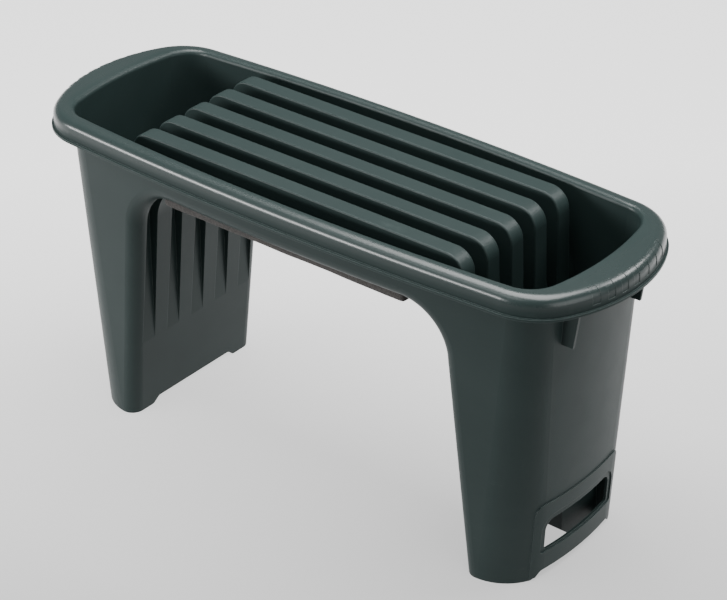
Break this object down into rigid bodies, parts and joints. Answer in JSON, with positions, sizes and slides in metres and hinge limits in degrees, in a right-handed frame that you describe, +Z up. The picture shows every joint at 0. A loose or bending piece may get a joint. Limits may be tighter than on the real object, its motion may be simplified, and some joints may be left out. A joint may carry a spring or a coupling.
{
  "type": "garden kneeler seat",
  "caption": "Moulded plastic garden seat and tool tub on two hollow legs, with a ribbed deck and a foam kneeling pad under it for use upside down.",
  "frame": {"origin": "centre of the footprint on the floor, between the two legs", "axes": "+Z up, +X along the length from leg to leg, +Y across the width"},
  "size_m": [0.5998, 0.2148, 0.2985],
  "materials": {
    "body": "satin, fine moulded texture, dark green",
    "pad": "matt closed-cell foam, near black",
    "tape": "matt double-sided tape"
  },
  "bodies": {
    "root": {"seat_body": "body", "kneeling_pad": "pad", "pad_tape_1": "tape", "pad_tape_2": "tape", "pad_tape_3": "tape", "pad_tape_4": "tape"}
  },
  "joints": []
}
